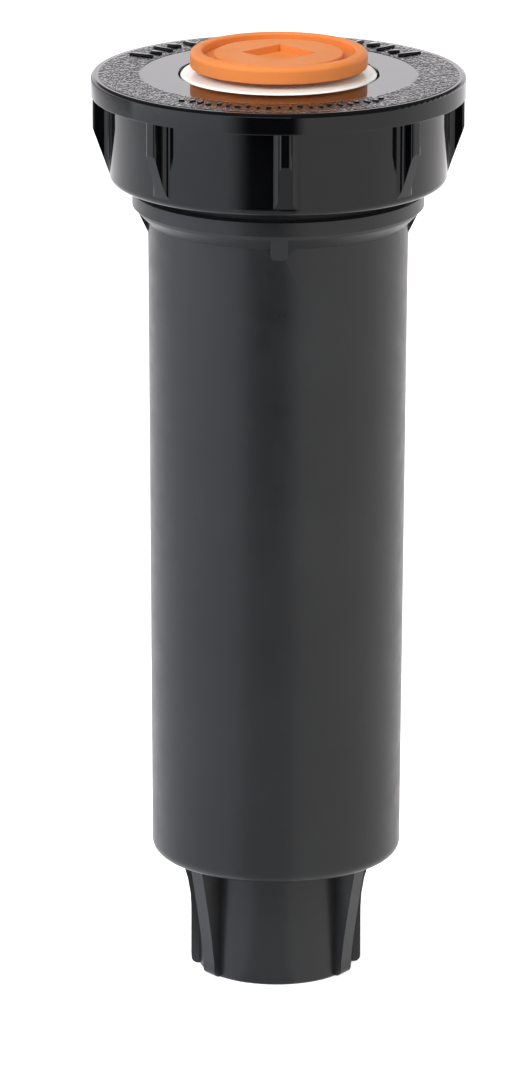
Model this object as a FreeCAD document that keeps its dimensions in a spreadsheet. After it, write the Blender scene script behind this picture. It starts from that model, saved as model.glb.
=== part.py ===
"""Pop-up irrigation spray head: body, threaded cap, wiper seal, spring-loaded riser and flush plug.

Frame: origin at the centre of the inlet's lower face, +Z up along the riser, millimetres.
-Y is the front: one cap lug and one collar gusset face it, and no neck rib does.
"""
import FreeCAD, Part
import math
import os
import re

import Sketcher

V = FreeCAD.Vector
FRONT_TO_BACK = "XZ_Plane"
ACROSS = "XY_Plane"
SIDE_TO_SIDE = "YZ_Plane"

# Driving dimensions: alias, value in millimetres (or a count or degrees), what it is.
DIMENSIONS = (
    ("cap_top", 148.5, "height of the cap's top face"),
    ("cap_radius", 29.85, "cap flange, outside"),
    ("cap_plate", 2.3, "thickness of the cap's top"),
    ("cap_hole", 15.95, "hole in the cap for the seal's head"),
    ("flange_height", 3.35, "height of the cap's flange"),
    ("cap_edge", 0.6, "rounding of the cap's upper rim"),
    ("flange_edge", 0.18, "rounding of the flange's lower edge and of the cap's hole"),
    ("skirt_edge", 1.2, "rounding of the skirt's lower edge"),
    ("skirt_radius", 26.95, "cap skirt, outside"),
    ("skirt_bore", 24.1, "cap skirt, inside, at the thread's root"),
    ("skirt_foot", 131.3, "height of the skirt's lower edge"),
    ("lug_radius", 29.6, "cap lugs, outside"),
    ("lug_width", 1.9, "width of a cap lug"),
    ("lug_web", 1.15, "rounding between a lug and the skirt"),
    ("lug_bend", 139.95, "height where a lug's crest turns in"),
    ("lug_foot", 132.7, "height where a lug meets the skirt"),
    ("lug_count", 8, "lugs round the cap"),
    ("lug_edge", 0.4, "rounding of a lug's long edges"),
    ("lug_fade", 0.02, "how far a lug's lower end stands off the skirt"),
    ("flange_sink", 0.5, "how far a lug runs up into the flange"),
    ("wall_sink", 1.0, "how far lugs and neck ribs start inside their wall"),
    ("root_sink", 0.3, "how far threads and guide ribs start inside their wall"),
    ("cut_reach", 1.0, "how far a cut's outline reaches past the wall"),
    ("thread_pitch", 4.0, "pitch of the cap's thread"),
    ("thread_tip", 0.8, "width of a thread's crest"),
    ("thread_foot", 1.6, "width of a thread's root"),
    ("case_thread_start", 135.6, "middle of the case's thread where it begins"),
    ("case_thread_rise", 5.6, "rise of the case's thread"),
    ("case_thread_crest", 23.8, "crest of the case's thread"),
    ("cap_thread_crest", 22.9, "crest of the cap's thread"),
    ("cap_thread_start", 133.6, "middle of the cap's thread where it begins"),
    ("cap_thread_rise", 7.0, "rise of the cap's thread"),
    ("mouth_radius", 22.6, "case below the cap, outside"),
    ("mouth_top", 143.2, "height of the case's rim"),
    ("collar_radius", 23.3, "collar under the cap"),
    ("collar_top", 129.6, "height of the collar's upper face"),
    ("collar_edge", 127.4, "height of the collar's lower edge"),
    ("collar_foot", 124.8, "height where the collar meets the barrel"),
    ("relief_radius", 21.2, "groove between the collar and the thread"),
    ("relief_top", 132.4, "height of the groove's upper end"),
    ("barrel_head", 20.79, "barrel radius under the collar"),
    ("barrel_foot", 20.09, "barrel radius at its foot"),
    ("barrel_bottom", 19.5, "height of the barrel's foot"),
    ("barrel_round", 2.0, "rounding of the barrel's foot"),
    ("bore_head", 18.5, "cavity radius at the rim"),
    ("bore_foot", 17.55, "cavity radius at the floor"),
    ("floor_top", 21.5, "height of the cavity's floor"),
    ("neck_radius", 12.6, "inlet neck, outside"),
    ("neck_round", 0.6, "rounding of the neck's lower edge"),
    ("inlet_minor", 9.1, "inlet thread, crest radius"),
    ("inlet_major", 10.5, "inlet thread, root radius"),
    ("inlet_pitch", 1.814, "inlet thread, pitch"),
    ("inlet_turns", 7, "inlet thread, grooves"),
    ("inlet_depth", 15.0, "depth of the threaded hole"),
    ("inlet_lead", 1.0, "height of the countersink at the inlet's mouth"),
    ("inlet_start", 1.2, "height where the first inlet groove begins"),
    ("inlet_flank", 0.6, "height of an inlet groove's flank"),
    ("inlet_flat", 0.3, "width of an inlet groove's root"),
    ("passage_radius", 8.4, "waterway above the inlet thread"),
    ("rib_width", 2.9, "thickness of a neck rib"),
    ("rib_radius", 13.8, "neck rib, outside, lower part"),
    ("rib_round", 1.0, "rounding of a neck rib's lower corner"),
    ("rib_foot", 0.3, "height of a neck rib's lower end"),
    ("rib_flare", 2.6, "height where the corner ribs begin to flare"),
    ("side_flare", 9.5, "height where the side ribs begin to flare"),
    ("rib_head", 16.6, "corner rib, outside, at the barrel"),
    ("side_head", 16.15, "side rib, outside, at the barrel"),
    ("barrel_sink", 0.4, "how far the neck ribs run up into the barrel"),
    ("gusset_width", 2.8, "width of a gusset under the collar"),
    ("gusset_foot", 122.6, "height of a gusset's rounded lower end"),
    ("gusset_stand", 0.05, "how far a gusset's lower end stands off the barrel"),
    ("gusset_inset", 0.35, "how far a gusset's upper end lies inside the collar"),
    ("gusset_heel", 0.4, "height where a gusset's lean begins, above its lower end"),
    ("gusset_short", 0.05, "how far a gusset's block stays inside the collar"),
    ("collar_sink", 0.5, "how far a gusset runs up into the collar"),
    ("guide_count", 8, "guide ribs inside the barrel"),
    ("guide_radius", 16.4, "inner faces of the guide ribs"),
    ("guide_width", 1.6, "width of a guide rib"),
    ("guide_foot", 24.0, "height where the guide ribs begin"),
    ("guide_head", 134.0, "height where the guide ribs end"),
    ("core_bore", 9.7, "seal core, inside"),
    ("core_waist", 17.4, "seal core inside the case, outside"),
    ("core_radius", 20.1, "seal core flange, outside"),
    ("core_foot", 142.6, "height of the spring's upper seat"),
    ("core_shelf", 143.9, "underside of the seal core's flange"),
    ("core_top", 145.4, "top of the seal core"),
    ("core_fit", 0.1, "gap between the core's waist and the seal's gasket"),
    ("seal_radius", 20.6, "wiper seal, outside"),
    ("seal_foot", 143.25, "underside of the seal's gasket"),
    ("seal_shoulder", 146.05, "seal's face under the cap"),
    ("seal_head", 15.6, "seal's head, outside"),
    ("seal_head_edge", 148.4, "height where the head's edge begins"),
    ("seal_bevel", 0.25, "bevel of the head's edge"),
    ("seal_top", 149.1, "top of the wiping lip"),
    ("lip_radius", 9.26, "wiper lip, inside"),
    ("lip_crest", 1.0, "distance from the lip's bore to its crest"),
    ("lip_lead", 0.4, "depth of the lip's lead-in"),
    ("lip_foot", 0.9, "lip's lower edge, below its top"),
    ("lip_back", 1.6, "width of the lip's upper back"),
    ("lip_back_foot", 1.6, "upper back's lower end, below the lip's top"),
    ("lip_root", 3.0, "width of the lip's root"),
    ("lip_root_foot", 2.4, "root's upper end, below the lip's top"),
    ("head_slope", 2.4, "distance from the lip's bore to the head's slope"),
    ("head_fall", 0.2, "upper end of the head's slope, below the lip's top"),
    ("spring_radius", 13.4, "spring, to the wire's middle"),
    ("wire_radius", 0.7, "spring wire"),
    ("spring_turns", 10.5, "turns of the spring"),
    ("spring_gap", 0.05, "gap between the spring and each of its seats"),
    ("riser_radius", 9.2, "riser tube, outside"),
    ("riser_bore", 6.6, "riser tube, inside"),
    ("riser_foot", 22.0, "height of the riser's lower end"),
    ("riser_flange", 12.0, "riser foot flange, outside"),
    ("flange_thick", 1.2, "riser foot flange, thickness"),
    ("riser_boss", 10.2, "riser under the ratchet wheel, outside"),
    ("riser_top", 149.45, "height of the riser's upper end"),
    ("nozzle_radius", 8.1, "nozzle thread, outside"),
    ("nozzle_root", 7.65, "nozzle thread, root radius"),
    ("nozzle_length", 7.4, "length of the nozzle thread"),
    ("nozzle_pitch", 0.907, "nozzle thread, pitch"),
    ("nozzle_turns", 7, "nozzle thread, grooves"),
    ("nozzle_lead", 0.7, "height where the first nozzle groove begins"),
    ("nozzle_flank", 0.3, "height of a nozzle groove's flank"),
    ("riser_taper", 1.1, "height of the cone under the nozzle thread"),
    ("wheel_radius", 15.6, "ratchet wheel, outside"),
    ("wheel_top", 25.6, "ratchet wheel, root of its teeth"),
    ("tooth_height", 0.9, "height of a ratchet tooth"),
    ("tooth_width", 2.5, "width of a ratchet tooth"),
    ("tooth_inner", 11.2, "ratchet teeth, inner end"),
    ("tooth_outer", 15.4, "ratchet teeth, outer end"),
    ("tooth_count", 24, "ratchet teeth"),
    ("tooth_gap", 0.15, "gap between the two rows of teeth"),
    ("tooth_sink", 0.2, "how far a tooth starts inside its ring"),
    ("ring_bore", 9.55, "ratchet ring, inside"),
    ("ring_radius", 17.1, "ratchet ring, outside"),
    ("ring_seat", 29.0, "height of the spring's lower seat"),
    ("ring_collar", 11.8, "ratchet ring's spring guide, outside"),
    ("ring_collar_top", 31.2, "height of the ratchet ring's spring guide"),
    ("notch_width", 2.2, "width of a guide notch in the ratchet ring"),
    ("notch_radius", 16.0, "bottom of a guide notch"),
    ("plug_radius", 14.1, "flush plug, outside"),
    ("plug_foot", 149.7, "underside of the plug's disc"),
    ("plug_top", 152.4, "top of the plug"),
    ("plug_edge", 0.8, "rounding of the plug's rim"),
    ("groove_outer", 12.2, "plug's ring groove, outer wall"),
    ("groove_inner", 10.3, "plug's ring groove, inner wall"),
    ("groove_depth", 1.3, "depth of the plug's ring groove"),
    ("groove_edge", 0.32, "rounding of the plug's other edges"),
    ("disc_drop", 0.45, "how far the plug's middle lies below its rim"),
    ("recess_width", 8.4, "width across the flats of the square recess"),
    ("recess_depth", 1.1, "depth of the square recess"),
    ("stem_radius", 6.5, "plug's stem, outside"),
    ("stem_bore", 5.3, "plug's stem, inside"),
    ("stem_foot", 131.0, "height of the stem's lower end"),
    ("stem_roof", 149.9, "roof of the stem's hollow"),
    ("slit_width", 1.6, "width of the stem's slits"),
    ("slit_height", 12.0, "height of the stem's slits"),
)
SIZE = {alias: value for alias, value, _ in DIMENSIONS}

# Directions of the neck ribs, seen from above, in degrees from +X, and how sharply each kind flares.
SIDE_RIBS = (0, 180)
CORNER_RIBS = (-36, 36, 144, 216)
SIDE_BEND = 2.0
CORNER_BEND = 1.2
# The gussets are turned a little from the front, and so is the plug's recess, in degrees.
GUSSET_TURN = -1.7
RECESS_TURN = -4.0

doc = FreeCAD.newDocument("spray_head")


def make_sheet():
    """Put every driving dimension in a cell of its own, with its alias."""
    sheet = doc.addObject("Spreadsheet::Sheet", "Dims")
    sheet.Label = "driving dimensions"
    for row, (alias, value, meaning) in enumerate(DIMENSIONS, start=1):
        sheet.set(f"A{row}", meaning)
        sheet.set(f"B{row}", str(value))
        sheet.setAlias(f"B{row}", alias)
    doc.recompute()


def bound(rule):
    """Turn a rule, such as the cap's top less its plate, into an expression on the sheet."""
    return re.sub(r"[a-z]+_[a-z_]+", lambda word: "Dims." + word.group(0), rule)


def drive(feature, **rules):
    """Bind properties of a feature to the sheet."""
    for name, rule in rules.items():
        feature.setExpression(name, bound(rule))


def new_body(label):
    body = doc.addObject("PartDesign::Body", label)
    body.Label = label
    return body


def plane_of(body, role):
    return next(item for item in body.Origin.OriginFeatures if item.Role == role)


def outline(body, name, corners, role=FRONT_TO_BACK, turn=0.0, lift=None):
    """Closed polygon on an origin plane; each corner is a pair of rules.

    turn swings an upright plane about Z, in degrees; lift moves a plane along its normal.
    """
    sketch = body.newObject("Sketcher::SketchObject", name)
    sketch.AttachmentSupport = [(plane_of(body, role), "")]
    sketch.MapMode = "FlatFace"
    sketch.AttachmentOffset = FreeCAD.Placement(V(0, 0, 0), FreeCAD.Rotation(V(0, 1, 0), turn))
    if lift:
        swing = math.radians(turn)
        sketch.setExpression("AttachmentOffset.Base.x", bound(f"({lift}) * {math.sin(swing):.6f}"))
        sketch.setExpression("AttachmentOffset.Base.z", bound(f"({lift}) * {math.cos(swing):.6f}"))
    count = len(corners)
    step = 2 * math.pi / count
    starts = [V(10 * math.cos(step * n), 10 * math.sin(step * n), 0) for n in range(count)]
    for n in range(count):
        sketch.addGeometry(Part.LineSegment(starts[n], starts[(n + 1) % count]), False)
    for n in range(count):
        sketch.addConstraint(Sketcher.Constraint("Coincident", n, 2, (n + 1) % count, 1))
    for n, (across, up) in enumerate(corners):
        for kind, rule in (("DistanceX", across), ("DistanceY", up)):
            place = sketch.addConstraint(Sketcher.Constraint(kind, -1, 1, n, 1, 1.0))
            sketch.setExpression(f"Constraints[{place}]", bound(rule))
    doc.recompute()
    return sketch


def turned(body, name, corners, kind="Revolution"):
    """Full turn of an outline in the (radius, height) half plane."""
    sketch = outline(body, name + "_outline", corners)
    feature = body.newObject("PartDesign::" + kind, name)
    feature.Profile = sketch
    feature.ReferenceAxis = (sketch, ["V_Axis"])
    feature.Angle = 360
    doc.recompute()
    return feature


def along_z(pattern, sketch, occurrences, length_rule):
    """Set up a linear pattern that climbs the Z axis."""
    pattern.Direction = (sketch, ["V_Axis"])
    drive(pattern, Length=length_rule, Occurrences=occurrences)


def stack(body, name, feature, occurrences, length_rule):
    """Repeat a feature up the Z axis."""
    pattern = body.newObject("PartDesign::LinearPattern", name)
    pattern.Originals = [feature]
    along_z(pattern, feature.Profile[0], occurrences, length_rule)
    body.Tip = pattern
    doc.recompute()


def spread(body, name, feature, occurrences):
    """Repeat a feature evenly round the Z axis."""
    pattern = body.newObject("PartDesign::PolarPattern", name)
    pattern.Originals = [feature]
    pattern.Axis = (plane_of(body, "Z_Axis"), [""])
    pattern.Angle = 360
    drive(pattern, Occurrences=occurrences)
    body.Tip = pattern
    doc.recompute()


def bar(body, name, sketch, rules, kind="Pad", both_ways=True):
    """Pad or pocket of a sketch, by default half to each side of its plane."""
    feature = body.newObject("PartDesign::" + kind, name)
    feature.Profile = sketch
    feature.Midplane = both_ways
    drive(feature, **rules)
    doc.recompute()
    return feature


def ridge(body, name, corners, height_rule):
    """Helical thread ridge about Z."""
    sketch = outline(body, name + "_outline", corners)
    helix = body.newObject("PartDesign::AdditiveHelix", name)
    helix.Profile = sketch
    helix.ReferenceAxis = (sketch, ["V_Axis"])
    helix.Mode = "pitch-height-angle"
    drive(helix, Pitch="thread_pitch", Height=height_rule)
    doc.recompute()
    return helix


def is_rim(edge, radius, height):
    """True for a circular edge of this radius and height about Z."""
    curve = edge.Curve
    if not isinstance(curve, Part.Circle):
        return False
    return abs(curve.Radius - radius) < 1e-4 and abs(curve.Center.z - height) < 1e-4


def rims(*circles):
    """Test for edges that are one of these (radius, height) circles."""
    return lambda edge: any(is_rim(edge, radius, height) for radius, height in circles)


def soften(body, name, wanted, rule):
    """Round the edges of the body's tip that pass the test."""
    base = body.Tip
    found = [f"Edge{n}" for n, edge in enumerate(base.Shape.Edges, start=1) if wanted(edge)]
    fillet = body.newObject("PartDesign::Fillet", name)
    fillet.Base = (base, found)
    drive(fillet, Radius=rule)
    body.Tip = fillet
    doc.recompute()


def make_case():
    """One moulding: inlet neck, barrel with guide ribs inside, collar and threaded mouth."""
    body = new_body("case")
    turned(body, "case_wall", (
        ("inlet_minor + inlet_lead", "0"),
        ("neck_radius", "0"),
        ("neck_radius", "barrel_bottom"),
        ("barrel_foot", "barrel_bottom"),
        ("barrel_head", "collar_foot"),
        ("collar_radius", "collar_edge"),
        ("collar_radius", "collar_top"),
        ("relief_radius", "collar_top"),
        ("relief_radius", "relief_top - mouth_radius + relief_radius"),
        ("mouth_radius", "relief_top"),
        ("mouth_radius", "mouth_top"),
        ("bore_head", "mouth_top"),
        ("bore_foot", "floor_top"),
        ("passage_radius", "floor_top"),
        ("passage_radius", "inlet_depth"),
        ("inlet_minor", "inlet_depth"),
        ("inlet_minor", "inlet_lead"),
    ))
    soften(body, "barrel_rounding", rims((SIZE["barrel_foot"], SIZE["barrel_bottom"])),
           "barrel_round")
    soften(body, "neck_rounding", rims((SIZE["neck_radius"], 0.0)), "neck_round")
    groove = turned(body, "inlet_groove", (
        ("inlet_minor - root_sink", "inlet_start"),
        ("inlet_minor", "inlet_start"),
        ("inlet_major", "inlet_start + inlet_flank"),
        ("inlet_major", "inlet_start + inlet_flank + inlet_flat"),
        ("inlet_minor", "inlet_start + 2 * inlet_flank + inlet_flat"),
        ("inlet_minor - root_sink", "inlet_start + 2 * inlet_flank + inlet_flat"),
    ), kind="Groove")
    stack(body, "inlet_thread", groove, "inlet_turns", "(inlet_turns - 1) * inlet_pitch")
    add_neck_ribs(body)
    add_gussets(body)
    add_guide_ribs(body)
    middle = "case_thread_start"
    ridge(body, "case_thread", (
        ("mouth_radius - root_sink", f"{middle} - thread_foot / 2"),
        ("case_thread_crest", f"{middle} - thread_tip / 2"),
        ("case_thread_crest", f"{middle} + thread_tip / 2"),
        ("mouth_radius - root_sink", f"{middle} + thread_foot / 2"),
    ), "case_thread_rise")


def add_neck_ribs(body):
    """Blade ribs on both sides of the neck, flaring where they meet the barrel."""
    top = "barrel_bottom + barrel_sink"
    for kind, directions, flare, head, bend in (
        ("side", SIDE_RIBS, "side_flare", "side_head", SIDE_BEND),
        ("corner", CORNER_RIBS, "rib_flare", "rib_head", CORNER_BEND),
    ):
        rise = f"({top} - {flare})"
        reach = f"({head} - rib_radius)"
        corners = [("neck_radius - wall_sink", "rib_foot")]
        corners += quarter("rib_radius - rib_round", "rib_foot + rib_round", "rib_round", -90)
        for step in (0.0, 0.25, 0.5, 0.75, 1.0):
            corners.append((f"rib_radius + {reach} * {step ** bend:.4f}", f"{flare} + {rise} * {step}"))
        corners.append(("neck_radius - wall_sink", top))
        for n, direction in enumerate(directions):
            sketch = outline(body, f"{kind}_rib_outline_{n}", corners, turn=direction)
            bar(body, f"{kind}_rib_{n}", sketch, {"Length": "rib_width"})


def add_gussets(body):
    """Four small tongues that lean from the collar's edge down to the barrel."""
    radius = "gusset_width / 2"
    steps = 8
    angles = [math.pi * n / steps for n in range(steps + 1)]
    round_end = [
        (f"{radius} * {-math.cos(angle):.4f}",
         f"gusset_foot + {radius} * {1 - math.sin(angle):.4f}")
        for angle in angles
    ]
    top = "collar_edge + collar_sink"
    corners = round_end + [(radius, top), ("-" + radius, top)]
    sketch = outline(body, "gusset_outline", corners, role=SIDE_TO_SIDE, lift="barrel_foot",
                     turn=GUSSET_TURN)
    reach = {"Length": "collar_radius - barrel_foot - gusset_short"}
    gusset = bar(body, "gusset", sketch, reach, both_ways=False)
    spread(body, "gussets", gusset, "4")
    turned(body, "gusset_lean", (
        ("barrel_head + gusset_stand", "gusset_foot - cut_reach"),
        ("collar_radius + cut_reach", "gusset_foot - cut_reach"),
        ("collar_radius + cut_reach", "collar_edge"),
        ("collar_radius - gusset_inset", "collar_edge"),
        ("barrel_head + gusset_stand", "gusset_foot + gusset_heel"),
    ), kind="Groove")


def add_guide_ribs(body):
    """Upright ribs in the barrel that keep the ratchet ring from turning."""
    sketch = outline(body, "guide_outline", (
        ("guide_radius", "-guide_width / 2"),
        ("bore_head + root_sink", "-guide_width / 2"),
        ("bore_head + root_sink", "guide_width / 2"),
        ("guide_radius", "guide_width / 2"),
    ), role=ACROSS, lift="guide_foot")
    rib = bar(body, "guide_rib", sketch, {"Length": "guide_head - guide_foot"}, both_ways=False)
    spread(body, "guide_ribs", rib, "guide_count")


def make_cap():
    """Screw cap with a flat top, a flange, grip lugs and a threaded skirt."""
    body = new_body("cap")
    flange_foot = "cap_top - flange_height"
    turned(body, "cap_wall", (
        ("cap_hole", "cap_top - cap_plate"),
        ("skirt_bore", "cap_top - cap_plate"),
        ("skirt_bore", "skirt_foot"),
        ("skirt_radius", "skirt_foot"),
        ("skirt_radius", flange_foot),
        ("cap_radius", flange_foot),
        ("cap_radius", "cap_top"),
        ("cap_hole", "cap_top"),
    ))
    flange_top = (SIZE["cap_radius"], SIZE["cap_top"])
    flange_low = (SIZE["cap_radius"], SIZE["cap_top"] - SIZE["flange_height"])
    soften(body, "cap_rounding", rims(flange_top), "cap_edge")
    soften(body, "skirt_rounding", rims((SIZE["skirt_radius"], SIZE["skirt_foot"])), "skirt_edge")
    soften(body, "flange_rounding", rims(flange_low, (SIZE["cap_hole"], SIZE["cap_top"])),
           "flange_edge")
    add_lugs(body)
    middle = "cap_thread_start"
    ridge(body, "cap_thread", (
        ("skirt_bore + root_sink", f"{middle} - thread_foot / 2"),
        ("cap_thread_crest", f"{middle} - thread_tip / 2"),
        ("cap_thread_crest", f"{middle} + thread_tip / 2"),
        ("skirt_bore + root_sink", f"{middle} + thread_foot / 2"),
    ), "cap_thread_rise")


def quarter(across, up, radius, start, steps=4):
    """Corners of a quarter circle about a centre given by two rules; start is in degrees."""
    angles = [math.radians(start + 90 * n / steps) for n in range(steps + 1)]
    return [
        (f"{across} + {radius} * ({math.cos(angle):.4f})",
         f"{up} + {radius} * ({math.sin(angle):.4f})")
        for angle in angles
    ]


def hollow(across, up, radius, side, steps=6):
    """Corners of a hollow quarter circle that joins a lug's flank to the skirt."""
    angles = [math.pi / 2 * n / steps for n in range(steps + 1)]
    corners = [
        (f"{across} + {radius} * ({1 - math.cos(angle):.4f})",
         f"{side} * ({up} - {radius} * ({math.sin(angle):.4f}))")
        for angle in angles
    ]
    return corners if side < 0 else corners[::-1]


def add_lugs(body):
    """Grip lugs: rounded bars under the flange, turned down to a lean towards the skirt's foot."""
    outer = "lug_radius - lug_edge"
    side = "(lug_width / 2 - lug_edge)"
    web = "(lug_width / 2 + lug_web)"
    root = f"sqrt(skirt_radius ^ 2 - {web} ^ 2)"
    corners = [("skirt_radius - wall_sink", "-" + web)]
    corners += hollow(root, web, "lug_web", -1)
    corners += quarter(outer, "-" + side, "lug_edge", -90)
    corners += quarter(outer, side, "lug_edge", 0)
    corners += hollow(root, web, "lug_web", 1)
    corners += [("skirt_radius - wall_sink", web)]
    foot = "lug_foot"
    flange_foot = "(cap_top - flange_height)"
    sketch = outline(body, "lug_outline", corners, role=ACROSS, lift=foot)
    lug = bar(body, "lug", sketch, {"Length": f"{flange_foot} + flange_sink - {foot}"}, both_ways=False)
    spread(body, "lugs", lug, "lug_count")
    turned(body, "lug_lean", (
        ("skirt_radius + lug_fade", foot),
        ("lug_radius + cut_reach", foot),
        ("lug_radius + cut_reach", "lug_bend"),
        ("lug_radius", "lug_bend"),
    ), kind="Groove")


def make_seal_core():
    """Stiff ring inside the wiper seal; the spring pushes up against its underside."""
    turned(new_body("seal_core"), "seal_core_wall", (
        ("core_bore", "core_foot"),
        ("core_waist", "core_foot"),
        ("core_waist", "core_shelf"),
        ("core_radius", "core_shelf"),
        ("core_radius", "core_top"),
        ("core_bore", "core_top"),
    ))


def make_wiper_seal():
    """Soft moulding round the core: gasket on the case's rim, head through the cap, wiping lip."""
    turned(new_body("wiper_seal"), "wiper_seal_wall", (
        ("core_waist + core_fit", "seal_foot"),
        ("seal_radius", "seal_foot"),
        ("seal_radius", "seal_shoulder"),
        ("seal_head", "seal_shoulder"),
        ("seal_head", "seal_head_edge"),
        ("seal_head - seal_bevel", "seal_head_edge + seal_bevel"),
        ("lip_radius + head_slope", "seal_top - head_fall"),
        ("lip_radius + lip_crest", "seal_top"),
        ("lip_radius", "seal_top - lip_lead"),
        ("lip_radius", "seal_top - lip_foot"),
        ("lip_radius + lip_back", "seal_top - lip_back_foot"),
        ("lip_radius + lip_root", "seal_top - lip_root_foot"),
        ("lip_radius + lip_root", "core_top"),
        ("core_radius", "core_top"),
        ("core_radius", "core_shelf"),
        ("core_waist + core_fit", "core_shelf"),
    ))


def make_spring():
    """Stainless retract spring: a wire ring swept along a helix, ends clear of both seats."""
    helix = doc.addObject("Part::Helix", "spring_path")
    helix.SegmentLength = 1
    rise = "core_foot - ring_seat - 2 * wire_radius - 2 * spring_gap"
    start = "ring_seat + wire_radius + spring_gap"
    drive(helix, Radius="spring_radius", Height=rise, Pitch=f"({rise}) / spring_turns")
    helix.setExpression("Placement.Base.z", bound(start))
    wire = doc.addObject("Part::Circle", "spring_wire")
    drive(wire, Radius="wire_radius")
    wire.Placement = FreeCAD.Placement(V(0, 0, 0), FreeCAD.Rotation(V(1, 0, 0), 90))
    wire.setExpression("Placement.Base.x", bound("spring_radius"))
    wire.setExpression("Placement.Base.z", bound(start))
    sweep = doc.addObject("Part::Sweep", "retract_spring")
    sweep.Label = "retract_spring"
    sweep.Sections = [wire]
    sweep.Spine = (helix, [])
    sweep.Solid = True
    sweep.Frenet = True
    doc.recompute()


def make_riser():
    """Tube that rises from the body, with the nozzle's thread on top and a flange at its foot."""
    body = new_body("riser")
    turned(body, "riser_wall", (
        ("riser_bore", "riser_foot"),
        ("riser_flange", "riser_foot"),
        ("riser_flange", "riser_foot + flange_thick"),
        ("riser_boss", "riser_foot + flange_thick"),
        ("riser_boss", "wheel_top"),
        ("riser_radius", "wheel_top"),
        ("riser_radius", "riser_top - nozzle_length - riser_taper"),
        ("nozzle_radius", "riser_top - nozzle_length"),
        ("nozzle_radius", "riser_top"),
        ("riser_bore", "riser_top"),
    ))
    first = "riser_top - nozzle_length + nozzle_lead"
    groove = turned(body, "nozzle_groove", (
        ("nozzle_root", first),
        ("nozzle_radius", first + " - nozzle_flank"),
        ("nozzle_radius + root_sink", first + " - nozzle_flank"),
        ("nozzle_radius + root_sink", first + " + nozzle_flank"),
        ("nozzle_radius", first + " + nozzle_flank"),
    ), kind="Groove")
    stack(body, "nozzle_thread", groove, "nozzle_turns", "(nozzle_turns - 1) * nozzle_pitch")


def add_teeth(body, slope):
    """Ring of saw teeth; slope is the triangle's three (across, up) corners."""
    sketch = outline(body, "tooth_outline", slope, role=SIDE_TO_SIDE, lift="tooth_inner")
    reach = {"Length": "tooth_outer - tooth_inner"}
    tooth = bar(body, "tooth", sketch, reach, both_ways=False)
    spread(body, "teeth", tooth, "tooth_count")


def make_ratchet_wheel():
    """Toothed ring fixed on the riser's foot."""
    body = new_body("ratchet_wheel")
    turned(body, "ratchet_wheel_wall", (
        ("riser_boss", "riser_foot + flange_thick"),
        ("wheel_radius", "riser_foot + flange_thick"),
        ("wheel_radius", "wheel_top"),
        ("riser_boss", "wheel_top"),
    ))
    add_teeth(body, (
        ("-tooth_width / 2", "wheel_top - tooth_sink"),
        ("tooth_width / 2", "wheel_top - tooth_sink"),
        ("tooth_width / 2", "wheel_top + tooth_height"),
        ("-tooth_width / 2", "wheel_top"),
    ))


def make_ratchet_ring():
    """Ring held by the barrel's guide ribs; its teeth rest in the wheel's under the spring."""
    body = new_body("ratchet_ring")
    root = "wheel_top + tooth_height + tooth_gap"
    turned(body, "ratchet_ring_wall", (
        ("ring_bore", root),
        ("ring_radius", root),
        ("ring_radius", "ring_seat"),
        ("ring_collar", "ring_seat"),
        ("ring_collar", "ring_collar_top"),
        ("ring_bore", "ring_collar_top"),
    ))
    add_teeth(body, (
        ("-tooth_width / 2", root + " + tooth_sink"),
        ("-tooth_width / 2", "wheel_top + tooth_gap"),
        ("tooth_width / 2", root),
        ("tooth_width / 2", root + " + tooth_sink"),
    ))
    sketch = outline(body, "notch_outline", (
        ("notch_radius", "-notch_width / 2"),
        ("ring_radius + cut_reach", "-notch_width / 2"),
        ("ring_radius + cut_reach", "notch_width / 2"),
        ("notch_radius", "notch_width / 2"),
    ), role=ACROSS, lift="ring_seat")
    notch = body.newObject("PartDesign::Pocket", "notch")
    notch.Profile = sketch
    notch.Type = "ThroughAll"
    doc.recompute()
    spread(body, "notches", notch, "guide_count")


def make_flush_plug():
    """Plug that keeps dirt out of the riser: ringed disc, square key recess, slit hollow stem."""
    body = new_body("flush_plug")
    turned(body, "flush_plug_wall", (
        ("0", "stem_roof"),
        ("stem_bore", "stem_roof"),
        ("stem_bore", "stem_foot"),
        ("stem_radius", "stem_foot"),
        ("stem_radius", "plug_foot"),
        ("plug_radius", "plug_foot"),
        ("plug_radius", "plug_top"),
        ("groove_outer", "plug_top"),
        ("groove_outer", "plug_top - groove_depth"),
        ("groove_inner", "plug_top - groove_depth"),
        ("groove_inner", "plug_top - disc_drop"),
        ("0", "plug_top - disc_drop"),
    ))
    soften(body, "plug_rounding", rims((SIZE["plug_radius"], SIZE["plug_top"])), "plug_edge")
    disc_rim = (SIZE["groove_inner"], SIZE["plug_top"] - SIZE["disc_drop"])
    soften(body, "groove_rounding",
           rims((SIZE["groove_outer"], SIZE["plug_top"]), disc_rim,
                (SIZE["plug_radius"], SIZE["plug_foot"])), "groove_edge")
    reach = f"recess_width * {math.sqrt(0.5):.5f}"
    angles = [math.radians(RECESS_TURN + 90 * n) for n in range(4)]
    corners = [(f"{reach} * ({math.cos(angle):.5f})", f"{reach} * ({math.sin(angle):.5f})")
               for angle in angles]
    sketch = outline(body, "recess_outline", corners, role=ACROSS, lift="plug_top - disc_drop")
    bar(body, "recess", sketch, {"Length": "recess_depth"}, kind="Pocket", both_ways=False)
    far = "stem_radius + cut_reach"
    near = "slit_width / 2"
    for name, across, along in (("slit_x", far, near), ("slit_y", near, far)):
        corners = (
            (f"0 - ({across})", f"0 - ({along})"),
            (across, f"0 - ({along})"),
            (across, along),
            (f"0 - ({across})", along),
        )
        sketch = outline(body, name + "_outline", corners, role=ACROSS,
                         lift="stem_foot + slit_height")
        bar(body, name, sketch, {"Length": "slit_height + cut_reach"}, kind="Pocket", both_ways=False)


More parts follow.
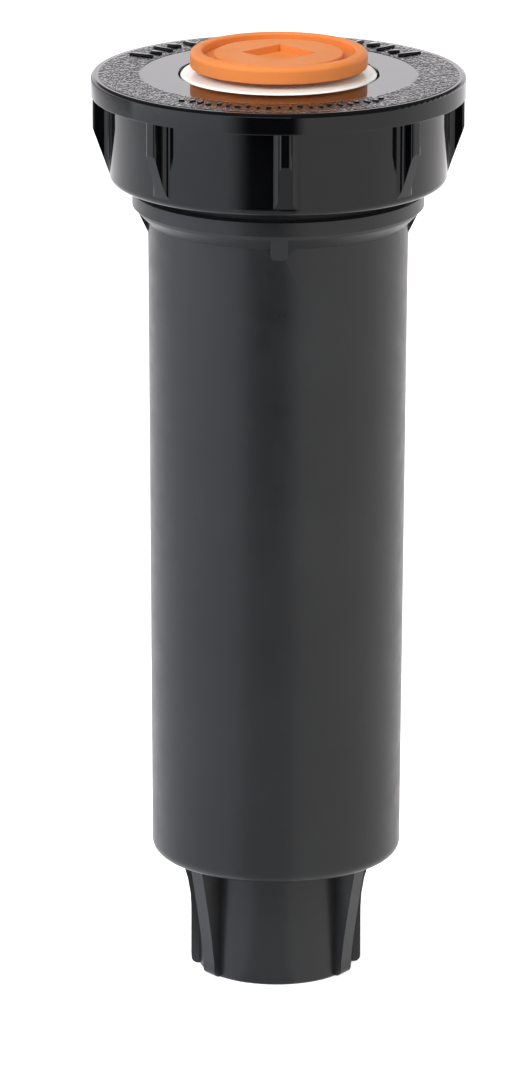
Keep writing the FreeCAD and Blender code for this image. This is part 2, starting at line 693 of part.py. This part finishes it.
def sub_parts():
    """Every object that is written out, by its label."""
    labels = ("case", "cap", "seal_core", "wiper_seal", "retract_spring", "riser",
              "ratchet_wheel", "ratchet_ring", "flush_plug")
    return [doc.getObjectsByLabel(label)[0] for label in labels]


def check():
    """Stop if any object failed or any sub-part isn't one sound solid."""
    for item in doc.Objects:
        if "Invalid" in item.State or "Error" in item.State:
            raise RuntimeError(f"{item.Label} is {item.State}")
    for item in sub_parts():
        shape = item.Shape
        if shape.isNull() or not shape.isValid() or len(shape.Solids) != 1:
            raise RuntimeError(f"{item.Label} isn't one valid solid")


def write():
    os.makedirs("parts", exist_ok=True)
    for item in sub_parts():
        item.Shape.exportStep(f"parts/{item.Label}.step")
        print(f"{item.Label}: {item.Shape.Volume / 1000:.2f} cm3")


make_sheet()
make_case()
make_cap()
make_seal_core()
make_wiper_seal()
make_spring()
make_riser()
make_ratchet_wheel()
make_ratchet_ring()
make_flush_plug()
doc.recompute()
check()
write()
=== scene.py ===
"""Looks for a pop-up irrigation spray head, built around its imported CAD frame."""
import math

import bmesh
import bpy
from mathutils import Matrix, Vector, noise


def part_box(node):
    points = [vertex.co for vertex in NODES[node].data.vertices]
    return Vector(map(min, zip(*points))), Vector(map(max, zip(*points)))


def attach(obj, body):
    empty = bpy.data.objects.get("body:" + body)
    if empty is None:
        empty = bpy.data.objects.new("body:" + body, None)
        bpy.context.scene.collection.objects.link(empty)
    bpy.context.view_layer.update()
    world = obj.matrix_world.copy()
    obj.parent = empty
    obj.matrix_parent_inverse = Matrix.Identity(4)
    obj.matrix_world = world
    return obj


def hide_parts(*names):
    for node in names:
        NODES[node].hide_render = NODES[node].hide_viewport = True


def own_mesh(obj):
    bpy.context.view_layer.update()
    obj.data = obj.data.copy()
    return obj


MM = 0.001
TAU = 2 * math.pi

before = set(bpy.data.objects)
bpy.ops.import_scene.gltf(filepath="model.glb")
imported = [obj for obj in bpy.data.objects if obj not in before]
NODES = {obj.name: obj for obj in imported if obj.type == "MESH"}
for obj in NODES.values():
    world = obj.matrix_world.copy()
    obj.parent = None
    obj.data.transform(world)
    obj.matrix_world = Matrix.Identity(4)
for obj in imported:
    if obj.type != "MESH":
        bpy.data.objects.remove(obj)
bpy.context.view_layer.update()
CAP_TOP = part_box("cap")[1].z


# ---------------------------------------------------------------- node helpers

def add(tree, kind, **values):
    """A new node; each value names one of its properties, or an input socket by its name."""
    node = tree.nodes.new(kind)
    for key, value in values.items():
        if hasattr(node, key):
            setattr(node, key, value)
        else:
            set_input(tree, node, key.replace("_", " "), value)
    return node


def set_input(tree, node, key, value):
    """Gives an input socket a value, or a link when the value is another node's socket."""
    socket = node.inputs[key]
    if isinstance(value, bpy.types.NodeSocket):
        tree.links.new(value, socket)
    else:
        socket.default_value = value


def math_node(tree, operation, *values):
    node = tree.nodes.new("ShaderNodeMath")
    node.operation = operation
    for i, value in enumerate(values):
        set_input(tree, node, i, value)
    return node.outputs[0]


def product(tree, first, second):
    return math_node(tree, "MULTIPLY", first, second)


def map_range(tree, value, low, high, to_low, to_high, interpolation="LINEAR"):
    node = tree.nodes.new("ShaderNodeMapRange")
    node.interpolation_type = interpolation
    for i, number in enumerate((value, low, high, to_low, to_high)):
        set_input(tree, node, i, number)
    return node.outputs[0]


def fade(tree, value, start, end, to_start=0.0, to_end=1.0):
    """Goes smoothly from one number to another while the value goes from start to end."""
    return map_range(tree, value, start, end, to_start, to_end, "SMOOTHSTEP")


def ramp(tree, value, stops):
    """Colour by value; each stop is a place from 0 to 1 and an RGB colour."""
    node = tree.nodes.new("ShaderNodeValToRGB")
    elements = node.color_ramp.elements
    stops = list(stops)
    while len(elements) < len(stops):
        elements.new(0.5)
    for element, (place, colour) in zip(elements, stops):
        element.position = place
        element.color = (*colour, 1)
    tree.links.new(value, node.inputs[0])
    return node.outputs[0]


def grain(tree, coords, scale, detail, roughness, stretch=None):
    """Noise with features of about 1/scale of a metre."""
    if stretch is not None:
        mapping = add(tree, "ShaderNodeMapping", Vector=coords)
        mapping.inputs["Scale"].default_value = stretch
        coords = mapping.outputs[0]
    node = add(tree, "ShaderNodeTexNoise", Vector=coords, Scale=scale, Detail=detail, Roughness=roughness)
    return node.outputs[0]


def bump(tree, height, distance, after=None):
    """Normal of a fine relief, laid over an earlier one if it is given."""
    node = add(tree, "ShaderNodeBump", Height=height, Distance=distance)
    if after is not None:
        tree.links.new(after, node.inputs["Normal"])
    return node.outputs[0]


# ---------------------------------------------------------------- materials

# Noises: a scale in features per metre, then (detail, roughness), and the span of values that is used.
MOTTLE_SCALE, MOTTLE_NOISE, MOTTLE_SPAN = 45.0, (4.0, 0.55), (0.35, 0.65)
WEAR_PER_MOTTLE = 6             # how much finer the roughness wanders than the colour
WEAR_NOISE, WEAR_SPAN = (5.0, 0.6), (0.3, 0.7)
SKIN_SCALE, SKIN_NOISE = 900.0, (2.0, 0.5)
FINE_SCALE, FINE_NOISE = 4000.0, (2.0, 0.6)
WIRE_TONE_SCALE, WIRE_TONE_NOISE = 300.0, (4.0, 0.5)
WIRE_LINE_SCALE, WIRE_LINE_NOISE = 1500.0, (3.0, 0.6)
WIRE_SPAN = (0.3, 0.7)
WIRE_LINE_STRETCH = (1, 1, 8)
WIRE_LINE_DEPTH = 0.003 * MM
WIRE_ROUGH = (0.22, 0.38)
WIRE_DARK, WIRE_LIGHT = (0.42, 0.41, 0.40), (0.62, 0.61, 0.59)


def shader_parts(name):
    """A new material with its node tree, its main shader and its object coordinates."""
    mat = bpy.data.materials.new(name)
    mat.use_nodes = True
    tree = mat.node_tree
    coords = tree.nodes.new("ShaderNodeTexCoord").outputs["Object"]
    return mat, tree, tree.nodes["Principled BSDF"], coords


def plastic(name, dark, light, rough, mottle=MOTTLE_SCALE, skin_depth=0.004, fine_depth=0.0015,
            streak=None, **sockets):
    """Moulded plastic: colour drifts from dark to light, roughness wanders, the skin has two grains.

    The depths of the grains are in millimetres, and each further value is a socket of the shader.
    """
    mat, tree, shader, coords = shader_parts(name)
    for key, value in sockets.items():
        shader.inputs[key.replace("_", " ")].default_value = value
    drift = grain(tree, coords, mottle, *MOTTLE_NOISE)
    tree.links.new(ramp(tree, drift, zip(MOTTLE_SPAN, (dark, light))), shader.inputs["Base Color"])
    worn = grain(tree, coords, mottle * WEAR_PER_MOTTLE, *WEAR_NOISE, streak)
    tree.links.new(map_range(tree, worn, *WEAR_SPAN, *rough), shader.inputs["Roughness"])
    skin = bump(tree, grain(tree, coords, SKIN_SCALE, *SKIN_NOISE), skin_depth * MM)
    fine = bump(tree, grain(tree, coords, FINE_SCALE, *FINE_NOISE), fine_depth * MM, after=skin)
    tree.links.new(fine, shader.inputs["Normal"])
    return mat


def steel(name):
    """Drawn stainless wire: dull metal with fine lines."""
    mat, tree, shader, coords = shader_parts(name)
    shader.inputs["Metallic"].default_value = 1.0
    tone = grain(tree, coords, WIRE_TONE_SCALE, *WIRE_TONE_NOISE)
    tree.links.new(ramp(tree, tone, zip(WIRE_SPAN, (WIRE_DARK, WIRE_LIGHT))), shader.inputs["Base Color"])
    lines = grain(tree, coords, WIRE_LINE_SCALE, *WIRE_LINE_NOISE, WIRE_LINE_STRETCH)
    tree.links.new(map_range(tree, lines, *WIRE_SPAN, *WIRE_ROUGH), shader.inputs["Roughness"])
    tree.links.new(bump(tree, lines, WIRE_LINE_DEPTH), shader.inputs["Normal"])
    return mat


MATERIALS = {
    "case_plastic": plastic("case_plastic", (0.0068, 0.0071, 0.0079), (0.0098, 0.0102, 0.0112), (0.27, 0.36),
                            skin_depth=0.007, fine_depth=0.003, IOR=1.5),
    "cap_plastic": plastic("cap_plastic", (0.0012, 0.0013, 0.0016), (0.002, 0.0021, 0.0025), (0.05, 0.09),
                           skin_depth=0.002, fine_depth=0.0004, IOR=1.5),
    "core_plastic": plastic("core_plastic", (0.03, 0.031, 0.034), (0.045, 0.046, 0.05), (0.4, 0.55)),
    "seal_elastomer": plastic("seal_elastomer", (0.84, 0.79, 0.74), (0.90, 0.86, 0.82), (0.16, 0.26),
                              skin_depth=0.006, Subsurface_Weight=0.25, Subsurface_Scale=0.002, IOR=1.45),
    "riser_plastic": plastic("riser_plastic", (0.011, 0.0115, 0.013), (0.016, 0.0165, 0.018), (0.22, 0.32),
                             streak=(1, 1, 0.15)),
    "wheel_plastic": plastic("wheel_plastic", (0.62, 0.60, 0.54), (0.72, 0.70, 0.64), (0.3, 0.42),
                             Subsurface_Weight=0.15, Subsurface_Scale=0.0015),
    "ring_plastic": plastic("ring_plastic", (0.10, 0.105, 0.115), (0.14, 0.145, 0.155), (0.38, 0.5)),
    "plug_plastic": plastic("plug_plastic", (0.68, 0.212, 0.050), (0.74, 0.240, 0.060), (0.46, 0.58),
                            skin_depth=0.008, Specular_IOR_Level=0.35,
                            Subsurface_Weight=0.12, Subsurface_Scale=0.001),
    "spring_steel": steel("spring_steel"),
}
NODE_SLOTS = {
    "case": "case_plastic", "cap": "cap_plastic", "seal_core": "core_plastic", "wiper_seal": "seal_elastomer",
    "riser": "riser_plastic", "ratchet_wheel": "wheel_plastic", "ratchet_ring": "ring_plastic",
    "flush_plug": "plug_plastic", "retract_spring": "spring_steel",
}
for node_name, slot_name in NODE_SLOTS.items():
    node_mesh = NODES[node_name].data
    node_mesh.materials.clear()
    node_mesh.materials.append(MATERIALS[slot_name])


# ---------------------------------------------------------------- added pieces

def link(obj):
    bpy.context.scene.collection.objects.link(obj)
    return obj


def piece(name, bm, slot, body):
    """A finished mesh piece in its material slot, riding on its body."""
    bmesh.ops.recalc_face_normals(bm, faces=bm.faces)
    mesh = bpy.data.meshes.new(name)
    bm.to_mesh(mesh)
    bm.free()
    mesh.shade_smooth()
    mesh.materials.append(MATERIALS[slot])
    obj = link(bpy.data.objects.new(name, mesh))
    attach(obj, body)
    return obj


def polar(radius, angle, z):
    return Vector((radius * math.cos(angle), radius * math.sin(angle), z))


def skin_loops(bm, loops):
    """Faces between closed loops of points, each loop joined to the next."""
    count = len(loops[0])
    for a, b in zip(loops, loops[1:]):
        for k in range(count):
            n = (k + 1) % count
            bm.faces.new((a[k], a[n], b[n], b[k]))


# Moulded grain of the cap's face.
PEBBLES_PER_MM = 2.6
PEBBLE_REACH = 0.62             # where a pebble's dome ends, as a share of the spacing
PEBBLE_SHARE = 0.75             # of the height; fine noise has the rest
NOISE_PER_MM = 5.0
NOISE_LEVEL = 3.0               # the height at which the fine noise is read
GRAIN_INNER, GRAIN_OUTER = 22.0 * MM, 28.85 * MM
GRAIN_RINGS, GRAIN_SPOKES = 64, 1450
GRAIN_HEIGHT = 0.07 * MM
GRAIN_FOOT = 0.25 * MM          # below the cap's face
GRAIN_SEAT = 0.02 * MM          # above the cap's face
GRAIN_FADE = 3                  # rings over which the grain dies out at each edge


def pebble(x, y):
    """Height of the moulded pebble grain at a point in millimetres, from 0 to 1."""
    distances = noise.voronoi(Vector((x, y, 0)) * PEBBLES_PER_MM)[0]
    dome = max(0.0, 1 - (distances[0] / PEBBLE_REACH) ** 2)
    fine = 0.5 + 0.5 * noise.noise(Vector((x, y, NOISE_LEVEL)) * NOISE_PER_MM)
    return PEBBLE_SHARE * dome + (1 - PEBBLE_SHARE) * fine


def pebble_ring():
    """The cap's textured band: a closed ring whose top is moulded pebble grain."""
    low, seat = CAP_TOP - GRAIN_FOOT, CAP_TOP + GRAIN_SEAT
    angles = [TAU * k / GRAIN_SPOKES for k in range(GRAIN_SPOKES)]
    bm = bmesh.new()
    loops = []
    for i in range(GRAIN_RINGS + 1):
        radius = GRAIN_INNER + (GRAIN_OUTER - GRAIN_INNER) * i / GRAIN_RINGS
        edge = min(1.0, i / GRAIN_FADE, (GRAIN_RINGS - i) / GRAIN_FADE)
        loop = []
        for angle in angles:
            point = polar(radius, angle, 0)
            height = pebble(point.x / MM, point.y / MM)
            point.z = seat + edge * GRAIN_HEIGHT * height
            loop.append(bm.verts.new(point))
        loops.append(loop)
    for radius in (GRAIN_OUTER, GRAIN_INNER):
        loops.append([bm.verts.new(polar(radius, angle, low)) for angle in angles])
    loops.append(loops[0])
    skin_loops(bm, loops)
    piece("cap_grain", bm, "cap_plastic", "cap")


# Raised marks. A pattern repeats along its row: length along the radius, width and outward shift in mm.
# In the front row the shift is turned inward on the left.
BACK, FRONT = math.pi / 2, -math.pi / 2
BACK_PATTERN = ((4.2, 1.0, 0.0), (2.4, 1.7, 0.7), (4.0, 0.8, 0.1), (2.0, 1.2, -0.9))
BACK_COUNT, BACK_START, BACK_STEP = 9, 5, 6.6           # on each side, in degrees
BACK_RADIUS, BACK_HIGH, BACK_EDGE = 25.4, 0.45, 0.16    # mm
FRONT_PATTERN = ((1.3, 0.6, 0.2), (0.8, 0.9, -0.5), (1.6, 0.5, 0.0))
FRONT_COUNT, FRONT_START, FRONT_STEP = 11, 2, 3.7
FRONT_RADIUS, FRONT_HIGH, FRONT_EDGE = 24.8, 0.34, 0.1
MARK_SUNK = 0.1 * MM
MARK_CORNER = 0.35              # corner radius, as a share of the mark's shorter side
MARK_CORNER_STEPS = 4
MARK_BEND = 0.3                 # where the rounded top edge bends, as a share of its size
QUADRANTS = ((1, 1), (-1, 1), (-1, -1), (1, -1))        # a mark's four corners in turn


def pad(bm, radius, angle, long, wide, base, high, edge):
    """One raised mark with rounded ends and a rounded top edge; long is measured along the radius."""
    turn = Matrix.Rotation(angle, 3, "Z")
    corner = min(long, wide) * MARK_CORNER
    top, bend = base + high, MARK_BEND * edge
    loops = []
    for inset, z in ((0, base), (0, top - edge), (bend, top - bend), (edge, top)):
        loop = []
        for quadrant, (cx, cy) in enumerate(QUADRANTS):
            for s in range(MARK_CORNER_STEPS + 1):
                around = (quadrant + s / MARK_CORNER_STEPS) * math.pi / 2
                x = cx * (long / 2 - corner) + (corner - inset) * math.cos(around)
                y = cy * (wide / 2 - corner) + (corner - inset) * math.sin(around)
                loop.append(bm.verts.new(turn @ (Vector((x, y, z)) + Vector((radius, 0, 0)))))
        loops.append(loop)
    skin_loops(bm, loops)
    bm.faces.new(loops[-1])
    bm.faces.new(list(reversed(loops[0])))


def marks():
    """Plain raised bars round the back of the cap's face, and small ones at its front."""
    bm = bmesh.new()
    base = CAP_TOP - MARK_SUNK
    for side in (-1, 1):
        for k in range(BACK_COUNT):
            angle = BACK + side * math.radians(BACK_START + BACK_STEP * k)
            long, wide, shift = BACK_PATTERN[k % len(BACK_PATTERN)]
            pad(bm, (BACK_RADIUS + shift) * MM, angle, long * MM, wide * MM, base,
                BACK_HIGH * MM, BACK_EDGE * MM)
        for k in range(FRONT_COUNT):
            angle = FRONT + side * math.radians(FRONT_START + FRONT_STEP * k)
            long, wide, shift = FRONT_PATTERN[k % len(FRONT_PATTERN)]
            pad(bm, (FRONT_RADIUS + side * shift) * MM, angle, long * MM, wide * MM, base,
                FRONT_HIGH * MM, FRONT_EDGE * MM)
    piece("cap_marks", bm, "cap_plastic", "cap")


WIRE = 0.7 * MM                 # radius of the spring's wire
COILS, CLOSED_COILS = 10.5, 0.9     # in all, and closed at each end
CLOSE_PITCH = 2.04 * WIRE
STEPS_PER_COIL, WIRE_SIDES = 44, 14
WIRE_TIP = (0.6, 0.9)           # thickness of the last two rings, as a share of the wire


def spring():
    """The retract spring as a wound wire with closed ends, as tall as the spring in the CAD frame."""
    low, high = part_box("retract_spring")
    radius = high.x - WIRE
    bottom, top = low.z + WIRE, high.z - WIRE
    open_pitch = (top - bottom - 2 * CLOSED_COILS * CLOSE_PITCH) / (COILS - 2 * CLOSED_COILS)
    around_wire = [TAU * s / WIRE_SIDES for s in range(WIRE_SIDES)]
    bm = bmesh.new()
    loops = []
    count = int(COILS * STEPS_PER_COIL)
    for i in range(count + 1):
        turn = COILS * i / count
        lead = min(turn, CLOSED_COILS) * CLOSE_PITCH
        middle = max(0.0, min(turn, COILS - CLOSED_COILS) - CLOSED_COILS) * open_pitch
        tail = max(0.0, turn - (COILS - CLOSED_COILS)) * CLOSE_PITCH
        centre = polar(radius, TAU * turn, bottom + lead + middle + tail)
        out = polar(1, TAU * turn, 0)
        end = min(i, count - i)
        size = WIRE * WIRE_TIP[end] if end < len(WIRE_TIP) else WIRE
        loops.append([bm.verts.new(centre + size * (out * math.cos(a) + Vector((0, 0, math.sin(a)))))
                      for a in around_wire])
    skin_loops(bm, loops)
    bm.faces.new(loops[0])
    bm.faces.new(loops[-1])
    coil = piece("spring_coil", bm, "spring_steel", "seal")
    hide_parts("retract_spring")
    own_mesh(coil)


pebble_ring()
marks()
spring()


# ---------------------------------------------------------------- camera

CAMERA_REACH, CAMERA_HEIGHT, CAMERA_ASIDE = 1.25, 0.424, 0.00203    # metres
CAMERA_TURN, CAMERA_PITCH, CAMERA_ROLL = map(math.radians, (2.1, 15.704, 0.18))
CAMERA_LENS, CAMERA_SENSOR = 271.4, 36      # mm
CAMERA_CLIP_END = 100


def make_camera():
    data = bpy.data.cameras.new("camera")
    data.lens = CAMERA_LENS
    data.sensor_width = CAMERA_SENSOR
    data.clip_end = CAMERA_CLIP_END
    obj = link(bpy.data.objects.new("camera", data))
    toward = Matrix.Rotation(-CAMERA_TURN, 3, "Z")
    tilt = Matrix.Rotation(math.pi / 2 - CAMERA_PITCH, 3, "X") @ Matrix.Rotation(CAMERA_ROLL, 3, "Z")
    place = toward @ Vector((-CAMERA_ASIDE, -CAMERA_REACH, CAMERA_HEIGHT))
    obj.matrix_world = Matrix.Translation(place) @ (toward @ tilt).to_4x4()
    bpy.context.scene.camera = obj


# ---------------------------------------------------------------- studio
# Azimuths are in degrees: 0 is the front, left is negative. Reach is in metres from the object's axis.

STAGE_HALF = 6.0                # metres
WALL_COLOURS = (
    (-180, (1.55, 1.50, 1.55)), (-150, (1.30, 1.28, 1.34)), (-115, (1.12, 1.15, 1.20)),
    (-60, (1.00, 1.05, 1.14)), (-30, (0.95, 0.98, 1.04)), (20, (0.90, 0.90, 0.90)),
    (70, (0.92, 0.91, 0.91)), (130, (1.15, 1.12, 1.12)), (180, (1.55, 1.50, 1.55)),
)
WALL_TOP = (14, 19)             # elevation over which the walls give way to the ceiling, degrees
CEILING_LIGHT = 0.12
GAP_LEFT, GAP_RIGHT = (-19, -38), (6, 15)       # azimuths where the dark gap in front ends
NEAR_TABLE, NEAR_LIGHT = (0.16, 0.42), 0.62     # reach and light of the lit table inside the gap
FAR_TABLE, FAR_LIGHT = (0.66, 0.70), 0.6        # reach and added light of the table's far left
FAR_AZIMUTH = (-80, -10)
DIM_TABLE, DIM_SHARE = (0.655, 0.685), 0.8      # reach of the dim corner at the back left, light lost
DIM_FRONT, DIM_BACK = (-98, -106), (-178, -168)
FLOOR_GLOW = 0.7
AIM_HEIGHT = 0.12
# name, azimuth, elevation, then reach and size in metres and power in watts
SOFT_BOXES = (
    ("key", -50, 38, 1.5, 0.9, 23.0),
    ("fill", 48, 32, 1.6, 0.9, 11.0),
    ("top", -160, 78, 1.5, 1.2, 6.0),
)


def make_stage_plane(name, material):
    bm = bmesh.new()
    bmesh.ops.create_grid(bm, x_segments=2, y_segments=2, size=STAGE_HALF)
    mesh = bpy.data.meshes.new(name)
    bm.to_mesh(mesh)
    bm.free()
    mesh.materials.append(material)
    plane = link(bpy.data.objects.new(name, mesh))
    return plane


def make_floor():
    """A pale light table."""
    paint = plastic("floor_paint", (0.86, 0.86, 0.86), (0.89, 0.89, 0.89), (0.8, 0.9), mottle=3.0,
                    skin_depth=0.0, fine_depth=0.0, Emission_Color=(1, 1, 1, 1), Emission_Strength=FLOOR_GLOW)
    floor = make_stage_plane("floor", paint)
    floor.visible_glossy = False


def side_light(tree, azimuth):
    """Colour of the studio's white walls and table by direction."""
    place = map_range(tree, azimuth, -math.pi, math.pi, 0, 1)
    return ramp(tree, place, [(0.5 + degrees / 360, colour) for degrees, colour in WALL_COLOURS])


def azimuth_of(tree, x, y):
    return math_node(tree, "ARCTAN2", x, product(tree, y, -1.0))


def by_azimuth(tree, azimuth, span):
    """Goes smoothly from 0 to 1 over a span of azimuths."""
    return fade(tree, azimuth, *map(math.radians, span))


def tinted(tree, colour, amount):
    node = add(tree, "ShaderNodeVectorMath", operation="MULTIPLY")
    tree.links.new(colour, node.inputs[0])
    tree.links.new(amount, node.inputs[1])
    return node.outputs[0]


def table_shade(tree, azimuth, reach):
    """Light of the table: 1, but for a dark gap at its front, a bright far left and a dim corner behind."""
    left, right = by_azimuth(tree, azimuth, GAP_LEFT), by_azimuth(tree, azimuth, GAP_RIGHT)
    beside = math_node(tree, "MAXIMUM", left, right)
    shade = math_node(tree, "MAXIMUM", beside, fade(tree, reach, *NEAR_TABLE, NEAR_LIGHT, 0.0))
    far_side = fade(tree, azimuth, *map(math.radians, FAR_AZIMUTH), 1.0, 0.0)
    far = product(tree, fade(tree, reach, *FAR_TABLE, 0.0, FAR_LIGHT), far_side)
    shade = product(tree, shade, math_node(tree, "ADD", 1.0, far))
    corner = product(tree, by_azimuth(tree, azimuth, DIM_FRONT), by_azimuth(tree, azimuth, DIM_BACK))
    dim = product(tree, corner, fade(tree, reach, *DIM_TABLE, 0.0, DIM_SHARE))
    return product(tree, shade, math_node(tree, "SUBTRACT", 1.0, dim))


def make_reflector():
    """What the glossy plastic mirrors of the table, seen in reflections only."""
    mat = bpy.data.materials.new("reflector")
    mat.use_nodes = True
    tree = mat.node_tree
    tree.nodes.remove(tree.nodes["Principled BSDF"])
    coords = tree.nodes.new("ShaderNodeTexCoord").outputs["Object"]
    x, y, _ = add(tree, "ShaderNodeSeparateXYZ", Vector=coords).outputs
    azimuth = azimuth_of(tree, x, y)
    length = add(tree, "ShaderNodeVectorMath", operation="LENGTH")
    tree.links.new(coords, length.inputs[0])
    shade = table_shade(tree, azimuth, length.outputs["Value"])
    glow = add(tree, "ShaderNodeEmission", Strength=1.0)
    tree.links.new(tinted(tree, side_light(tree, azimuth), shade), glow.inputs["Color"])
    tree.links.new(glow.outputs[0], tree.nodes["Material Output"].inputs["Surface"])
    card = make_stage_plane("reflector", mat)
    card.visible_camera = False
    card.visible_diffuse = False
    card.visible_transmission = False
    card.visible_volume_scatter = False
    card.visible_shadow = False


def make_world():
    """White walls round the table and a dark ceiling; the camera itself sees plain white."""
    world = bpy.data.worlds.new("studio")
    world.use_nodes = True
    tree = world.node_tree
    way = tree.nodes.new("ShaderNodeTexCoord").outputs["Generated"]
    x, y, z = add(tree, "ShaderNodeSeparateXYZ", Vector=way).outputs
    low, high = (math.sin(math.radians(elevation)) for elevation in WALL_TOP)
    walls = fade(tree, z, low, high, 1.0, CEILING_LIGHT)
    background = tree.nodes["Background"]
    tree.links.new(tinted(tree, side_light(tree, azimuth_of(tree, x, y)), walls), background.inputs["Color"])
    background.inputs["Strength"].default_value = 1.0
    plain = add(tree, "ShaderNodeBackground", Color=(1, 1, 1, 1), Strength=1.0)
    seen = tree.nodes.new("ShaderNodeLightPath").outputs["Is Camera Ray"]
    mix = tree.nodes.new("ShaderNodeMixShader")
    tree.links.new(seen, mix.inputs[0])
    tree.links.new(background.outputs[0], mix.inputs[1])
    tree.links.new(plain.outputs[0], mix.inputs[2])
    tree.links.new(mix.outputs[0], tree.nodes["World Output"].inputs["Surface"])
    bpy.context.scene.world = world


def soft_light(name, azimuth, elevation, reach, size, power):
    """Square soft box aimed at the upper part of the object."""
    data = bpy.data.lights.new(name, "AREA")
    data.shape = "SQUARE"
    data.size = size
    data.energy = power
    obj = link(bpy.data.objects.new(name, data))
    a, e = math.radians(azimuth), math.radians(elevation)
    away = Vector((math.sin(a) * math.cos(e), -math.cos(a) * math.cos(e), math.sin(e)))
    obj.location = Vector((0, 0, AIM_HEIGHT)) + reach * away
    obj.rotation_euler = (-away).to_track_quat("-Z", "Y").to_euler()
    obj.visible_glossy = False


make_camera()
make_floor()
make_reflector()
make_world()
for soft_box in SOFT_BOXES:
    soft_light(*soft_box)
bpy.context.scene.view_settings.view_transform = "Standard"
